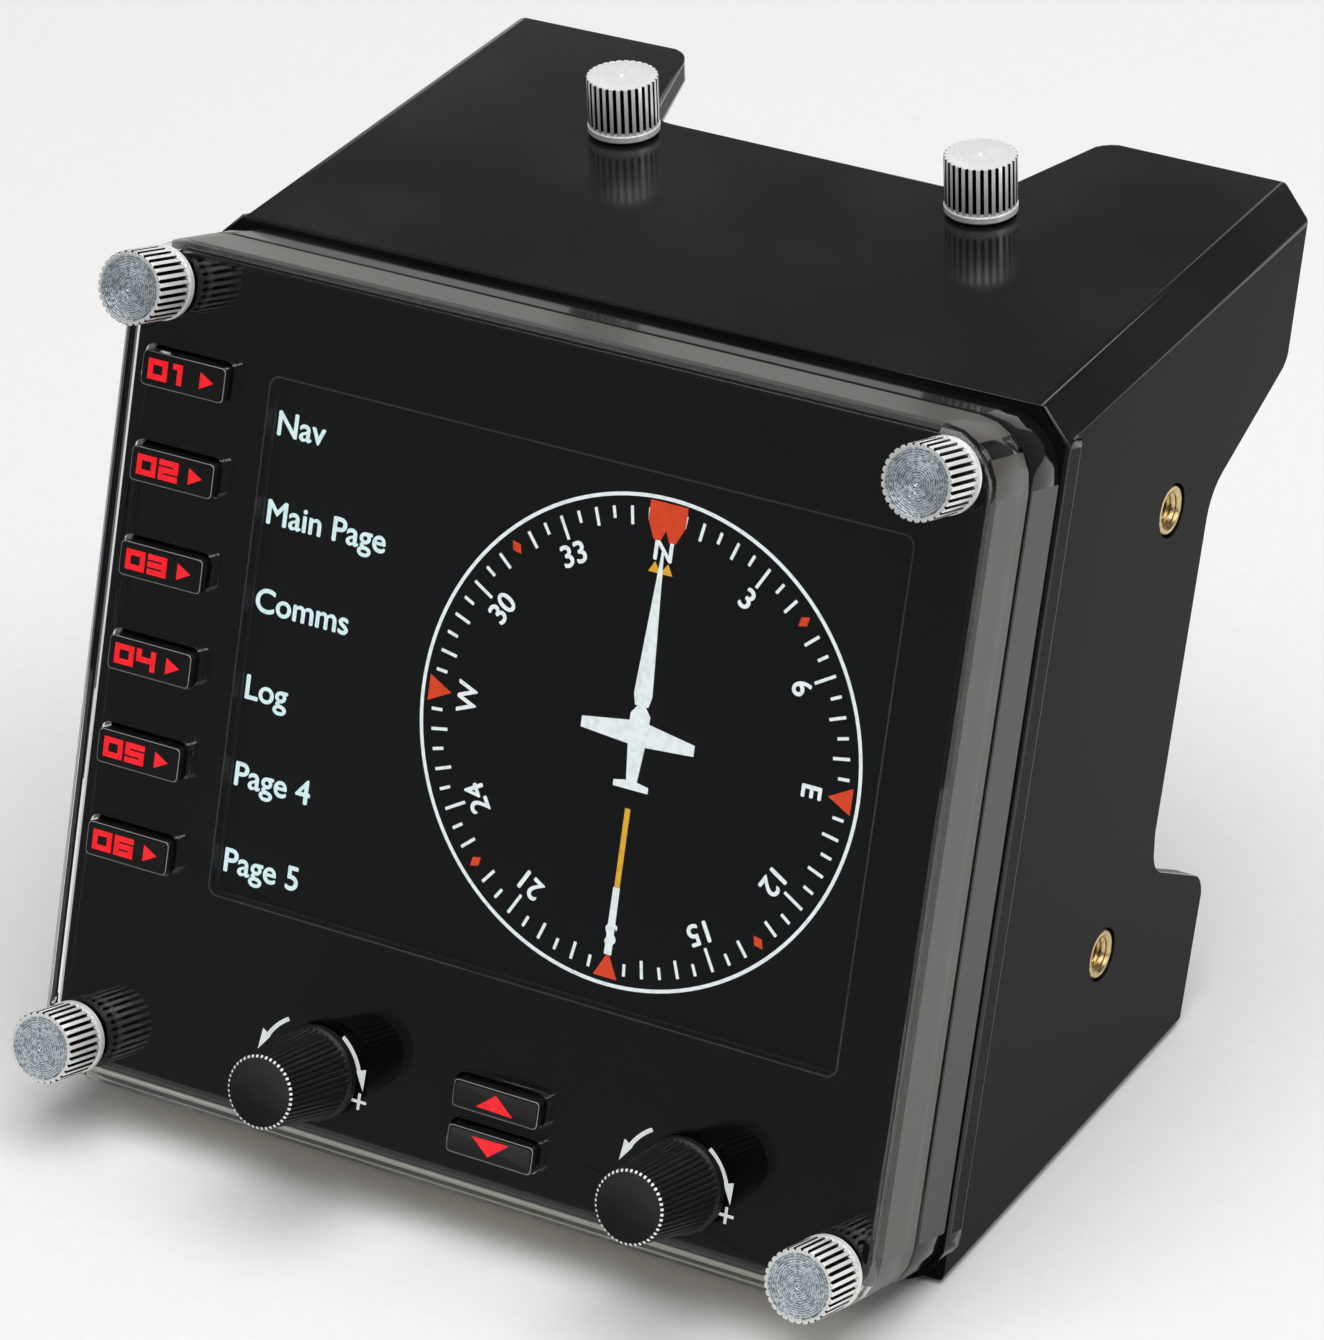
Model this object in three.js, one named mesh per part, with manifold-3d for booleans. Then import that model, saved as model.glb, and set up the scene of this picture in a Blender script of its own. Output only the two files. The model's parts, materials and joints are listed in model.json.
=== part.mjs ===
// A simulator flight-display module on its stacking bracket, in millimetres, +Z up.
// The display module leans back from the level bracket. Its pieces are drawn in the face
// frame: x right, y depth behind the clear face, z up the face, origin near the face centre.
import * as THREE from 'three';
import { mergeVertices } from 'three/addons/utils/BufferGeometryUtils.js';
import Module from 'manifold-3d';

const wasm = await Module();
wasm.setup();

// Driving dimensions
const tilt = THREE.MathUtils.degToRad(19);
const gap = 0.3;
const face = { width: 96.6, height: 87.2, z: -0.3, corner: 6.2, edge: 1.5 };
const cover = { front: 1.6, wall: 1.2, depth: 8.5 };
const panel = { front: 1.9, back: 2.9, skirt: 0.8, end: 8.4, post: 2.4 };
const window = { x: 4.85, z: 5.4, width: 71.6, height: 53.1, corner: 1.0 };
const housing = { front: 8.9, plate: 13.2, back: 15.0, wall: 1.8 };
const backBox = { width: 60, height: 42, z: 1, back: 24, wall: 1.8 };
const display = { x: 3.55, z: 5.15, width: 73, height: 62, front: 4.0, glass: 1.6, backlight: 3.3 };
const displayFrame = { wall: 1, front: 6.3, back: 9.6 };
const gasket = { front: 3.2, back: 3.7, wall: 1.4 };
const flex = { width: 18, film: 0.4, drop: 2.5 };
const softKey = { count: 6, x: -39.8, z: 30.5, pitch: 9.72, width: 9.8, height: 3.56, flange: 4.9 };
const pageKey = { count: 2, x: 5.8, z: -32.7, pitch: 4.68, width: 9.8, height: 2.9, flange: 4.0 };
const keyDepth = { front: -0.9, shoulder: 3.25, back: 4.25, corner: 0.5, clearance: 0.3, lip: 0.5 };
const pad = { front: 5.3, base: 8.4, back: 9.7, width: 9.4, block: 7.6, margin: 2.5, shift: 0.2 };
const lamp = { width: 2, height: 1.2, depth: 0.8, well: 1.4 };
const board = { front: 10.0, back: 11.6, width: 88, height: 78 };
const processor = { width: 14, height: 14, depth: 1.4, x: 2, z: 6 };
const memory = { width: 9, height: 16, depth: 1.2, x: 20, z: 6 };
const usb = { x: -18, z: 1, width: 7.8, height: 4, wall: 0.5, depth: 6, proud: 0.2 };
const usbTongue = { width: 4.6, height: 0.9, rise: 0.4, setback: 0.8 };
const knob = { x: 5.85, spacing: 42, z: -35.4, front: 3.75, base: 4.85, skirt: 1.3, length: 10.6, wall: 1.3 };
const encoder = {
  size: 9.2, front: 3.3, back: 9.7, bush: 3.4, bushFront: 0.4, bore: 1.9, shaft: 1.6, floor: 5.8,
};
const cornerScrew = { x: 43.7, z: 39.15, hole: 1.8, boss: 2.9 };
const screwHead = { radius: 3.7, length: 6.35, collar: 1.1, shank: 1.5 };
const housingScrew = {
  places: [[-35, -34], [39, -34], [-37.5, 37.7]], head: 2.2, seat: 13.7, top: 14.8, shank: 1.1, tip: 5.2,
  boss: 3.4, bossFront: 12.1,
};
const insert = { radius: 2.55, bore: 1.8, length: 4.6, cornerLength: 2.7, boss: 4.2, bossLength: 5.4 };
const bracket = {
  halfWidth: 48, top: 36.6, bottom: -46.4, wall: 2.6, chamfer: 3.1,
  front: 15.3, flange: 3.0, rear: 66, proud: 0.6, openWidth: 78, openHeight: 66, openCorner: 4,
};
const sideInsert = { y: 43.05, z: [30.9, -14.9] };
const topScrew = { x: 20.7, y: 62.6, shank: 7, passage: 2.2 };
const notch = { mouth: 24.5, floor: 19.7, depth: 16.1, radius: 3.2 };
const sideNotch = { floor: 51.9, ear: 43.5, high: 31.65, low: -7.8, foot: -10.8, kneeRadius: 6, radius: 3.2 };

// A length that reaches past everything, for cuts right through
const beyond = 150;

// Where the bracket's rear plane and its top meet the level and the leaning frames
const stackShift = (bracket.top - bracket.bottom) * Math.tan(tilt);
const rearAt = (z) => (bracket.rear + z * Math.sin(tilt)) / Math.cos(tilt);
const flangeTop = (bracket.top + bracket.front * Math.sin(tilt)) / Math.cos(tilt);

// Outlines, as lists of [x, z] points that run once round
const arcSteps = (radius) => Math.min(5, Math.ceil(radius) + 1);

function roundedPolygon(corners) {
  const points = [];
  corners.forEach(([x, z, radius], i) => {
    const here = new THREE.Vector2(x, z);
    if (!radius) {
      points.push([x, z]);
      return;
    }
    const last = corners[(i + corners.length - 1) % corners.length];
    const next = corners[(i + 1) % corners.length];
    const toLast = new THREE.Vector2(last[0] - x, last[1] - z).normalize();
    const toNext = new THREE.Vector2(next[0] - x, next[1] - z).normalize();
    const half = Math.acos(THREE.MathUtils.clamp(toLast.dot(toNext), -1, 1)) / 2;
    const middle = toLast.clone().add(toNext).normalize();
    const centre = here.clone().addScaledVector(middle, radius / Math.sin(half));
    const start = here.clone().addScaledVector(toLast, radius / Math.tan(half)).sub(centre);
    const end = here.clone().addScaledVector(toNext, radius / Math.tan(half)).sub(centre);
    let sweep = end.angle() - start.angle();
    if (sweep > Math.PI) sweep -= 2 * Math.PI;
    if (sweep < -Math.PI) sweep += 2 * Math.PI;
    const steps = arcSteps(radius);
    for (let s = 0; s <= steps; s += 1) {
      const angle = start.angle() + (sweep * s) / steps;
      points.push([centre.x + radius * Math.cos(angle), centre.y + radius * Math.sin(angle)]);
    }
  });
  return points;
}

function rectangle(width, height, radius = 0, x = 0, z = 0) {
  const [left, right] = [x - width / 2, x + width / 2];
  const [low, high] = [z - height / 2, z + height / 2];
  return roundedPolygon([
    [left, low, radius], [right, low, radius], [right, high, radius], [left, high, radius],
  ]);
}

function circle(radius, x = 0, z = 0, sides = 16) {
  const points = [];
  for (let i = 0; i < sides; i += 1) {
    const angle = (2 * Math.PI * i) / sides;
    points.push([x + radius * Math.cos(angle), z + radius * Math.sin(angle)]);
  }
  return points;
}

const asVectors = (outline) => outline.map(([x, z]) => new THREE.Vector2(x, z));

// Closed geometry from a stack of outlines, each at its own depth y
function stack(layers) {
  const count = layers[0].outline.length;
  if (THREE.ShapeUtils.area(asVectors(layers[0].outline)) < 0) {
    return stack(layers.map(({ outline, y }) => ({ outline: [...outline].reverse(), y })));
  }
  const positions = layers.flatMap(({ outline, y }) => outline.flatMap(([x, z]) => [x, y, z]));
  const index = [];
  for (let layer = 0; layer < layers.length - 1; layer += 1) {
    for (let i = 0; i < count; i += 1) {
      const a = layer * count + i;
      const b = layer * count + ((i + 1) % count);
      index.push(a, b, b + count, a, b + count, a + count);
    }
  }
  const cap = (outline) => THREE.ShapeUtils.triangulateShape(asVectors(outline), []);
  const last = (layers.length - 1) * count;
  cap(layers[0].outline).forEach(([a, b, c]) => index.push(a, c, b));
  cap(layers[layers.length - 1].outline).forEach(([a, b, c]) => index.push(last + a, last + b, last + c));
  const geometry = new THREE.BufferGeometry();
  geometry.setAttribute('position', new THREE.Float32BufferAttribute(positions, 3));
  geometry.setIndex(index);
  return geometry;
}

// A manifold solid from any closed geometry, turned the right way out
function solid(geometry) {
  const bare = geometry.clone();
  bare.deleteAttribute('normal');
  bare.deleteAttribute('uv');
  const merged = mergeVertices(bare, 1e-4);
  const places = merged.attributes.position.array;
  const triangles = [];
  let volume = 0;
  const corner = (i) => new THREE.Vector3().fromArray(places, 3 * i);
  for (let t = 0; t < merged.index.count; t += 3) {
    const [a, b, c] = [merged.index.getX(t), merged.index.getX(t + 1), merged.index.getX(t + 2)];
    if (a !== b && b !== c && c !== a) {
      triangles.push([a, b, c]);
      volume += corner(a).dot(corner(b).cross(corner(c)));
    }
  }
  const ordered = triangles.flatMap(([a, b, c]) => (volume > 0 ? [a, b, c] : [a, c, b]));
  const mesh = new wasm.Mesh({
    numProp: 3, vertProperties: new Float32Array(places), triVerts: new Uint32Array(ordered),
  });
  return new wasm.Manifold(mesh);
}

const prism = (outline, from, to) => solid(stack([{ outline, y: from }, { outline, y: to }]));
const join = (first, ...others) => others.reduce((whole, other) => whole.add(other), first);
const cut = (first, ...others) => others.reduce((whole, other) => whole.subtract(other), first);

function turned(outline, from, to, matrix) {
  return solid(stack([{ outline, y: from }, { outline, y: to }]).applyMatrix4(matrix));
}

function lathe(profile, sides) {
  return solid(new THREE.LatheGeometry(profile.map(([r, y]) => new THREE.Vector2(r, y)), sides));
}

const leanBack = new THREE.Matrix4().makeRotationX(-tilt);
const alongX = new THREE.Matrix4().makeRotationZ(-Math.PI / 2);
const alongZ = new THREE.Matrix4().makeRotationX(Math.PI / 2);

const whole = new THREE.Group();
const level = new THREE.Group();
const leaning = new THREE.Group();
leaning.rotation.x = -tilt;
whole.add(level, leaning);

function piece(parent, name, body, finish, place = [0, 0, 0], matrix = null) {
  const shape = body.getMesh();
  const geometry = new THREE.BufferGeometry();
  geometry.setAttribute('position', new THREE.Float32BufferAttribute(shape.vertProperties, 3));
  geometry.setIndex(new THREE.Uint32BufferAttribute(shape.triVerts, 1));
  if (matrix) geometry.applyMatrix4(matrix);
  geometry.computeVertexNormals();
  const [color, roughness, metalness] = finish;
  const mesh = new THREE.Mesh(geometry, new THREE.MeshStandardMaterial({ color, roughness, metalness }));
  mesh.name = name;
  mesh.position.set(...place);
  parent.add(mesh);
}

// Finishes, as colour, roughness and metalness
const satinBlack = [0x141414, 0.35, 0];
const glossBlack = [0x0b0b0c, 0.08, 0];
const clearPlastic = [0xd8dcdc, 0.05, 0];
const rubberBlack = [0x191919, 0.7, 0];
const aluminium = [0xc9cbcc, 0.3, 1];
const brass = [0xb08d4f, 0.3, 1];
const steel = [0x9a9c9e, 0.35, 1];
const greenBoard = [0x1c5a34, 0.5, 0];
const silicone = [0xb9b9b4, 0.8, 0];
const screenBlack = [0x050608, 0.05, 0];
const whiteFilm = [0xe6e6e0, 0.6, 0];
const redLens = [0xb01218, 0.3, 0];
const amberFlex = [0xa8651f, 0.4, 0];

const cornerPlaces = [];
for (const [rowName, side] of [['upper', 1], ['lower', -1]]) {
  for (const [sideName, hand] of [['left', -1], ['right', 1]]) {
    const [x, z] = [hand * cornerScrew.x, face.z + side * cornerScrew.z];
    cornerPlaces.push({ name: `${rowName}_${sideName}`, x, z });
  }
}
const keyPlaces = ({ count, x, z, pitch }) => Array.from({ length: count }, (_, i) => [x, z - i * pitch]);
const softKeyPlaces = keyPlaces(softKey);
const pageKeyPlaces = keyPlaces(pageKey);
const knobPlaces = [-1, 1].map((hand) => [knob.x + (hand * knob.spacing) / 2, knob.z]);

const outerOutline = (inset) => rectangle(
  face.width - 2 * inset, face.height - 2 * inset, face.corner - inset, 0, face.z,
);
const keyHole = (key, [x, z], from, to) => prism(
  rectangle(
    key.width + 2 * keyDepth.clearance, key.height + 2 * keyDepth.clearance,
    keyDepth.corner + keyDepth.clearance, x, z,
  ), from, to,
);
const atCorners = (radius, from, to) => cornerPlaces.map(({ x, z }) => prism(circle(radius, x, z), from, to));
const atScrews = (radius, from, to) => housingScrew.places.map(
  ([x, z]) => prism(circle(radius, x, z, 12), from, to),
);

function faceHoles(from, to) {
  return [
    ...softKeyPlaces.map((place) => keyHole(softKey, place, from, to)),
    ...pageKeyPlaces.map((place) => keyHole(pageKey, place, from, to)),
    ...knobPlaces.map(([x, z]) => prism(circle(encoder.bush + gap, x, z), from, to)),
  ];
}

// Posts round the corner screws, kept within the module's outline less an inset
function cornerBosses(from, to, inset) {
  const posts = atCorners(cornerScrew.boss, from, to);
  return join(...posts).intersect(prism(outerOutline(inset), from, to));
}

// Clear moulded tray: the glossy front with a rounded edge and shallow side walls
function makeFrontCover() {
  const layers = [0, 1, 2, 3].map((step) => {
    const angle = (step * Math.PI) / 6;
    return { outline: outerOutline(face.edge * (1 - Math.sin(angle))), y: face.edge * (1 - Math.cos(angle)) };
  });
  layers.push({ outline: outerOutline(0), y: cover.depth });
  const hollow = prism(outerOutline(cover.wall), cover.front, beyond);
  const tray = cut(solid(stack(layers)), hollow);
  return cut(tray, ...faceHoles(-1, cover.front + 1), ...atCorners(cornerScrew.hole, -1, cover.front + 1));
}

// Black printed panel behind the clear front, with its window, skirt and screw posts
function makeFacePanel() {
  const inset = cover.wall + gap;
  const body = prism(outerOutline(inset), panel.front, panel.end);
  const hollow = prism(outerOutline(inset + panel.skirt), panel.back, beyond);
  const posts = atScrews(panel.post, panel.back - 0.5, board.front - gap);
  const { x, z, width, height, corner } = window;
  const opening = prism(rectangle(width, height, corner, x, z), 0, panel.back + 1);
  const cornerRoom = atCorners(cornerScrew.boss + gap, panel.back, beyond);
  const pilots = atScrews(housingScrew.shank + gap, panel.back + 1, beyond);
  const shell = join(cut(body, hollow, ...cornerRoom), ...posts);
  const screwHoles = atCorners(cornerScrew.hole, 1, panel.back + 1);
  return cut(shell, opening, ...pilots, ...faceHoles(1, panel.back + 1), ...screwHoles);
}

// A rectangular ring round an opening of the given size
function frameRing({ x, z, width, height }, wall, from, to) {
  const outer = prism(rectangle(width + 2 * wall, height + 2 * wall, 1, x, z), from, to);
  return cut(outer, prism(rectangle(width, height, 0, x, z), from - 1, to + 1));
}

function makeDisplay() {
  const { x, z, width, height, front, glass, backlight } = display;
  const slab = (from, depth) => prism(rectangle(width, height, 0, x, z), from, from + depth);
  piece(leaning, 'window_gasket', frameRing(window, gasket.wall, gasket.front, gasket.back), rubberBlack);
  piece(leaning, 'lcd_glass', slab(front, glass), screenBlack);
  piece(leaning, 'lcd_backlight', slab(front + glass + gap, backlight), whiteFilm);
  const room = { x, z, width: width + 2 * gap, height: height + 2 * gap };
  const ring = frameRing(room, displayFrame.wall, displayFrame.front, displayFrame.back);
  piece(leaning, 'lcd_frame', ring, steel);

  // The flex tail leaves the glass's low edge, then turns back to the circuit board
  const lowEdge = z - height / 2;
  const tailFront = front + glass / 2;
  const reach = flex.drop - gap;
  const across = prism(
    rectangle(flex.width, reach, 0, x, lowEdge - gap - reach / 2), tailFront, tailFront + flex.film,
  );
  const down = prism(
    rectangle(flex.width, flex.film, 0, x, lowEdge - flex.drop + flex.film / 2), tailFront, board.front - gap,
  );
  piece(leaning, 'lcd_flex', join(across, down), amberFlex);
}

// One push key: the cap that shows and the shoulder that keeps it behind the panel
function keyBody(key) {
  const cap = prism(rectangle(key.width, key.height, keyDepth.corner), keyDepth.front, keyDepth.back);
  const shoulder = prism(
    rectangle(key.width + 2 * keyDepth.lip, key.flange, keyDepth.corner), keyDepth.shoulder, keyDepth.back,
  );
  return join(cap, shoulder);
}

// Silicone pad under a column of keys, with a well over each lamp
function keyPad(places, key, x) {
  const [topZ, lowZ] = [places[0][1] + pad.margin, places[places.length - 1][1] - pad.margin];
  const base = prism(rectangle(pad.width, topZ - lowZ, 0.8, x, (topZ + lowZ) / 2), pad.base, pad.back);
  const blocks = places.map(([, z]) => prism(
    rectangle(pad.block, key.height, 0.6, x, z), pad.front, pad.base + 0.2,
  ));
  const wells = places.map(([, z]) => prism(
    rectangle(lamp.width + lamp.well, lamp.height + lamp.well / 2, 0, x, z), pad.front - 1, pad.back + 1,
  ));
  return cut(join(base, ...blocks), ...wells);
}

function makeKeys() {
  const lampBody = prism(rectangle(lamp.width, lamp.height), pad.back - lamp.depth, pad.back);
  const softCap = keyBody(softKey);
  const pageCap = keyBody(pageKey);
  const softPadX = softKey.x + pad.shift;
  softKeyPlaces.forEach(([x, z], i) => {
    piece(leaning, `soft_key_${i + 1}`, softCap, glossBlack, [x, 0, z]);
    piece(leaning, `soft_key_lamp_${i + 1}`, lampBody, redLens, [softPadX, 0, z]);
  });
  pageKeyPlaces.forEach(([x, z], i) => {
    const which = ['up', 'down'][i];
    piece(leaning, `page_${which}_key`, pageCap, glossBlack, [x, 0, z]);
    piece(leaning, `page_${which}_lamp`, lampBody, redLens, [x, 0, z]);
  });
  piece(leaning, 'soft_key_pad', keyPad(softKeyPlaces, softKey, softPadX), silicone);
  piece(leaning, 'page_key_pad', keyPad(pageKeyPlaces, pageKey, pageKey.x), silicone);
}

// Rotary encoders: body and bush fixed, shaft and knob turning
function makeRotaries() {
  const { length, base, skirt, front, wall } = knob;
  const block = prism(rectangle(encoder.size, encoder.size, 0.8), encoder.front, encoder.back);
  const bush = prism(circle(encoder.bush), encoder.bushFront, encoder.back);
  const body = cut(join(block, bush), prism(circle(encoder.bore, 0, 0, 12), 0, encoder.floor));
  const shaft = prism(circle(encoder.shaft, 0, 0, 12), wall + gap - length, encoder.floor - 0.4);
  const bevel = 0.2;
  const dial = lathe([
    [0, wall - length], [encoder.bore, wall - length], [encoder.bore, -gap], [base, -gap], [base, -skirt],
    [front, bevel - length], [front - bevel, -length], [0, -length],
  ], 28);
  knobPlaces.forEach(([x, z], i) => {
    const side = ['left', 'right'][i];
    piece(leaning, `${side}_encoder`, body, steel, [x, 0, z]);
    piece(leaning, `${side}_encoder_shaft`, shaft, aluminium, [x, 0, z]);
    piece(leaning, `${side}_knob`, dial, satinBlack, [x, 0, z]);
  });
}

function chip(name, { width, height, depth, x, z }) {
  const front = board.back + gap;
  piece(leaning, name, prism(rectangle(width, height, 0, x, z), front, front + depth), rubberBlack);
}

// The rear socket: a metal shell with a tongue, open to the back
function makeSocket() {
  const { x, z, width, height, wall, depth, proud } = usb;
  const { back } = backBox;
  const shell = prism(rectangle(width, height, wall, x, z), board.back + gap, back + proud);
  const mouth = prism(rectangle(width - 2 * wall, height - 2 * wall, 0, x, z), back - depth, back + 1);
  const tongueOutline = rectangle(usbTongue.width, usbTongue.height, 0, x, z + usbTongue.rise);
  const tongue = prism(tongueOutline, back - depth - 0.5, back - usbTongue.setback);
  piece(leaning, 'usb_socket', join(cut(shell, mouth), tongue), steel);
}

function makeElectronics() {
  const { front, back, width, height } = board;
  const plate = prism(rectangle(width, height, 1), front, back);
  const corners = atCorners(cornerScrew.boss + gap, front - 1, back + 1);
  const screwHoles = atScrews(housingScrew.shank + gap, front - 1, back + 1);
  piece(leaning, 'main_circuit_board', cut(plate, ...corners, ...screwHoles), greenBoard);
  chip('processor_chip', processor);
  chip('memory_chip', memory);
  makeSocket();
}

// Black rear housing with its raised electronics box and screw bosses
function makeRearHousing() {
  const { front, plate, back, wall } = housing;
  const shell = cut(prism(outerOutline(0), front, back), prism(outerOutline(wall), front - 1, plate));
  const box = prism(rectangle(backBox.width, backBox.height, 2, 0, backBox.z), plate, backBox.back);
  const [roomWidth, roomHeight] = [backBox.width - 2 * backBox.wall, backBox.height - 2 * backBox.wall];
  const roomOutline = rectangle(roomWidth, roomHeight, 1, 0, backBox.z);
  const room = prism(roomOutline, plate - 1, backBox.back - backBox.wall);
  const usbOutline = rectangle(usb.width + 0.8, usb.height + 0.8, 0.6, usb.x, usb.z);
  const usbHole = prism(usbOutline, plate, backBox.back + 1);
  const frontPosts = cornerBosses(panel.back + gap, plate, cover.wall + gap);
  const bosses = atScrews(housingScrew.boss, housingScrew.bossFront, plate + gap);
  const heads = atScrews(housingScrew.head + gap, housingScrew.seat - gap, back + 1);
  const shanks = atScrews(housingScrew.shank + gap, housingScrew.bossFront - 1, back);
  const body = join(shell, box, frontPosts, cornerBosses(front, back, 0), ...bosses);
  return cut(body, room, usbHole, ...heads, ...shanks, ...atCorners(cornerScrew.hole, panel.back, back + 1));
}

function makeHousingScrews() {
  const { head, shank, seat, top, tip } = housingScrew;
  const body = join(prism(circle(head, 0, 0, 14), seat, top), prism(circle(shank, 0, 0, 10), tip, top));
  housingScrew.places.forEach(([x, z], i) => {
    piece(leaning, `housing_screw_${i + 1}`, body, steel, [x, 0, z]);
  });
}

// Knurled thumbscrew, its seat at y = 0 and its head towards -y
function thumbscrew(shankLength) {
  const { radius, length, collar, shank } = screwHead;
  const rim = radius + 0.05;
  return lathe([
    [0, -length], [radius, -length], [radius, -collar - 0.1],
    [rim, -collar], [rim, -gap], [shank, -gap], [shank, shankLength], [0, shankLength],
  ], 20);
}

function insertBody(length) {
  const { bore, radius } = insert;
  return lathe([[bore, 0.1], [radius, 0.1], [radius, length], [bore, length], [bore, 0.1]], 16);
}

function makeFastenings() {
  const longScrew = thumbscrew(bracket.front + bracket.flange - gap);
  const shortScrew = thumbscrew(topScrew.shank);
  const brassInsert = insertBody(insert.length);
  const cornerInsert = insertBody(insert.cornerLength);
  cornerPlaces.forEach(({ name, x, z }) => {
    piece(leaning, `corner_thumbscrew_${name}`, longScrew, aluminium, [x, 0, z]);
    piece(leaning, `corner_insert_${name}`, cornerInsert, brass, [x, bracket.front, z]);
  });
  [['left', -1], ['right', 1]].forEach(([side, hand]) => {
    const down = new THREE.Matrix4().makeRotationX(-Math.PI / 2);
    const onTop = [hand * topScrew.x, topScrew.y, bracket.top];
    piece(level, `top_thumbscrew_${side}`, shortScrew, aluminium, onTop, down);
    piece(level, `top_insert_${side}`, brassInsert, brass, onTop, down);
    sideInsert.z.forEach((z, i) => {
      const inward = new THREE.Matrix4().makeRotationZ((hand * Math.PI) / 2);
      const name = `side_insert_${['upper', 'lower'][i]}_${side}`;
      piece(leaning, name, brassInsert, brass, [hand * bracket.halfWidth, sideInsert.y, z], inward);
    });
  });
}

// The level section of the bracket shell, drawn in by a wall thickness
function sectionOutline(inset) {
  const side = bracket.halfWidth - inset;
  const [low, high] = [bracket.bottom + inset, bracket.top - inset];
  const bevel = bracket.chamfer - inset * (2 - Math.SQRT2);
  return [
    [-side, low], [side, low], [side, high - bevel],
    [side - bevel, high], [bevel - side, high], [-side, high - bevel],
  ];
}

const inFace = (outline, from, to) => turned(outline, from, to, leanBack);
const acrossFace = (outline, from, to) => turned(
  outline, from, to, new THREE.Matrix4().multiplyMatrices(leanBack, alongX),
);
const wide = rectangle(2 * beyond, 2 * beyond);

// The hollow level shell, flush with the flange's front only along its upper half
function bracketShell() {
  const { front, flange, rear, wall } = bracket;
  const upperHalf = rectangle(2 * beyond, beyond, 0, 0, beyond / 2);
  const span = join(inFace(wide, front + flange / 2, rear), inFace(upperHalf, front, front + flange));
  const outer = prism(sectionOutline(0), -beyond, beyond).intersect(span);
  const inner = prism(sectionOutline(wall), -beyond, beyond).intersect(inFace(wide, front + flange, beyond));
  return cut(outer, inner);
}

// The flange that the module is screwed to, cut off level with the bracket's base
function bracketFlange() {
  const { front, flange, halfWidth, proud, chamfer } = bracket;
  const [side, low] = [halfWidth + proud, face.z - face.height / 2 - gap];
  const plate = roundedPolygon([
    [-side, low, face.corner], [side, low, face.corner], [side, flangeTop - chamfer],
    [side - chamfer, flangeTop], [chamfer - side, flangeTop], [-side, flangeTop - chamfer],
  ]);
  const belowBase = prism(rectangle(2 * beyond, beyond, 0, 0, bracket.bottom - beyond / 2), -beyond, beyond);
  return cut(inFace(plate, front, front + flange), belowBase);
}

// Rear notch in the top or bottom wall, cut straight through that wall
function wallNotch(rearY, from, to) {
  const { mouth, floor, radius } = notch;
  const floorY = rearY - notch.depth;
  const outer = mouth + radius + 1;
  const corners = [
    [-outer, rearY + 5], [-outer, rearY], [-mouth, rearY, radius], [-floor, floorY, radius],
    [floor, floorY, radius], [mouth, rearY, radius], [outer, rearY], [outer, rearY + 5],
  ];
  return turned(roundedPolygon(corners).map(([x, y]) => [x, -y]), from, to, alongZ);
}

// Deep notch in the rear edge of both side walls, between an upper and a lower ear
function sideNotches() {
  const { floor, ear, high, low, foot, kneeRadius, radius } = sideNotch;
  const { rear } = bracket;
  const corners = [
    [rear + 6, ear + 4], [rear, ear + 4], [rear, ear, radius], [floor, high, kneeRadius], [floor, low, radius],
    [rear, foot, radius], [rear, foot - 4], [rear + 6, foot - 4],
  ];
  return acrossFace(roundedPolygon(corners).map(([y, z]) => [-y, z]), -beyond, beyond);
}

// Bosses and bores for the brass inserts, and the holes that let a lower bracket's screws pass
function insertSeats() {
  const { halfWidth, top, bottom, wall, front, flange } = bracket;
  const bore = insert.radius + gap;
  const inward = insert.bossLength;
  const seats = { posts: [], bores: [] };
  cornerPlaces.forEach(({ x, z }) => {
    seats.bores.push(inFace(circle(bore, x, z), front - 1, front + flange + 1));
  });
  [-1, 1].forEach((hand) => {
    sideInsert.z.forEach((z) => {
      const atSide = (radius, near, far) => {
        const outline = circle(radius, -sideInsert.y, z);
        return acrossFace(outline, hand * near, hand * far);
      };
      seats.posts.push(atSide(insert.boss, halfWidth - inward, halfWidth - 1));
      seats.bores.push(atSide(bore, halfWidth - inward - 1, halfWidth + 1));
    });
    const atTop = (radius, y, near, far) => turned(circle(radius, hand * topScrew.x, -y), near, far, alongZ);
    seats.posts.push(atTop(insert.boss, topScrew.y, top - inward, top - 1));
    seats.bores.push(atTop(bore, topScrew.y, top - inward - 1, top + 1));
    seats.bores.push(atTop(topScrew.passage, topScrew.y - stackShift, bottom - 1, bottom + wall + 1));
  });
  return seats;
}

function makeBracket() {
  const { top, bottom, wall, front, flange, openWidth, openHeight, openCorner } = bracket;
  const { posts, bores } = insertSeats();
  const solidParts = join(bracketShell(), bracketFlange(), ...posts);
  const opening = inFace(rectangle(openWidth, openHeight, openCorner), front - 1, front + flange + 1);
  const topNotch = wallNotch(rearAt(top), top - wall - 4, top + 4);
  const lowNotch = wallNotch(rearAt(bottom), bottom - 1, bottom + wall + 1);
  return cut(solidParts, opening, topNotch, lowNotch, sideNotches(), ...bores);
}

piece(level, 'mounting_bracket', makeBracket(), satinBlack);
piece(leaning, 'front_cover', makeFrontCover(), clearPlastic);
piece(leaning, 'face_panel', makeFacePanel(), glossBlack);
makeDisplay();
makeKeys();
makeRotaries();
makeElectronics();
piece(leaning, 'rear_housing', makeRearHousing(), glossBlack);
makeHousingScrews();
makeFastenings();

// The origin is under the middle of the whole object, on the surface it stands on
whole.updateMatrixWorld(true);
const bounds = new THREE.Box3().setFromObject(whole, true);
whole.position.set(0, -(bounds.min.y + bounds.max.y) / 2, -bounds.min.z);

export default whole;
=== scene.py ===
import json
from math import atan2, cos, hypot, pi, radians, sin
import bmesh
import bpy
from mathutils import Matrix, Vector


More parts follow.
